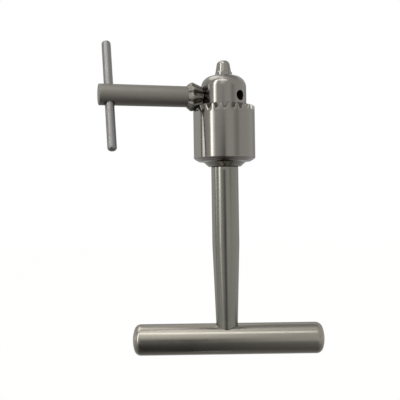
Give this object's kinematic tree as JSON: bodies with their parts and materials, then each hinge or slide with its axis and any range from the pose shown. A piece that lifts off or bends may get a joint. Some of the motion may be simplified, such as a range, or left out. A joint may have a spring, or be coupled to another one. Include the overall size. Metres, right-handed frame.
{
  "type": "t-handle hand drill",
  "caption": "Steel hand drill with a keyed three-jaw chuck on a tapering stem, a round cross bar to turn it by, and a bevel-toothed chuck key standing in the chuck.",
  "frame": {"origin": "on the spindle axis at the tips of the closed jaws, where a bit enters", "axes": "+Z along the spindle from the cross bar to the chuck's nose, +X along the cross bar, -Y towards the side that the picture shows"},
  "size_m": [0.108, 0.0399, 0.1534],
  "materials": {
    "satin_bar": "satin turned",
    "ground_stem": "ground and polished",
    "polished_chuck": "polished",
    "jaw_steel": "ground",
    "hardened_inner": "hardened, dull",
    "blasted_key": "bead blasted"
  },
  "bodies": {
    "handle": {"t_bar": "satin_bar", "stem": "ground_stem", "chuck_body": "polished_chuck"},
    "sleeve": {"chuck_sleeve": "polished_chuck", "nut_half_front": "hardened_inner", "nut_half_back": "hardened_inner"},
    "jaw_a": {"jaw_a": "jaw_steel"},
    "jaw_b": {"jaw_b": "jaw_steel"},
    "jaw_c": {"jaw_c": "jaw_steel"},
    "pilot": {"key_pilot": "hardened_inner"},
    "key": {"key_pinion": "blasted_key", "key_shank": "blasted_key", "key_bar": "blasted_key"}
  },
  "joints": [
    {"name": "sleeve_turn", "type": "hinge", "parent": "handle", "child": "sleeve", "pos_m": [0, 0, -0.03], "axis": [0, 0, 1], "range_deg": [0, 2160]},
    {"name": "jaw_a_slide", "type": "slide", "parent": "handle", "child": "jaw_a", "axis": [0.067, 0.25, 0.9659], "range_m": [-0.01081, 0]},
    {"name": "jaw_b_slide", "type": "slide", "parent": "handle", "child": "jaw_b", "axis": [-0.25, -0.067, 0.9659], "range_m": [-0.01081, 0]},
    {"name": "jaw_c_slide", "type": "slide", "parent": "handle", "child": "jaw_c", "axis": [0.183, -0.183, 0.9659], "range_m": [-0.01081, 0]},
    {"name": "key_pull", "type": "slide", "parent": "handle", "child": "pilot", "axis": [-0.9659, -0.2588, 0], "range_m": [0, 0.04]},
    {"name": "key_turn", "type": "hinge", "parent": "pilot", "child": "key", "pos_m": [-0.01449, -0.00388, -0.0182], "axis": [-0.9659, -0.2588, 0], "range_deg": [0, 5760]}
  ],
  "couplings": [
    {"joint": "jaw_a_slide", "follows": "sleeve_turn", "m_per_rad": -0.00028648},
    {"joint": "jaw_b_slide", "follows": "sleeve_turn", "m_per_rad": -0.00028648},
    {"joint": "jaw_c_slide", "follows": "sleeve_turn", "m_per_rad": -0.00028648},
    {"joint": "key_turn", "follows": "sleeve_turn", "ratio": 2.6667}
  ]
}
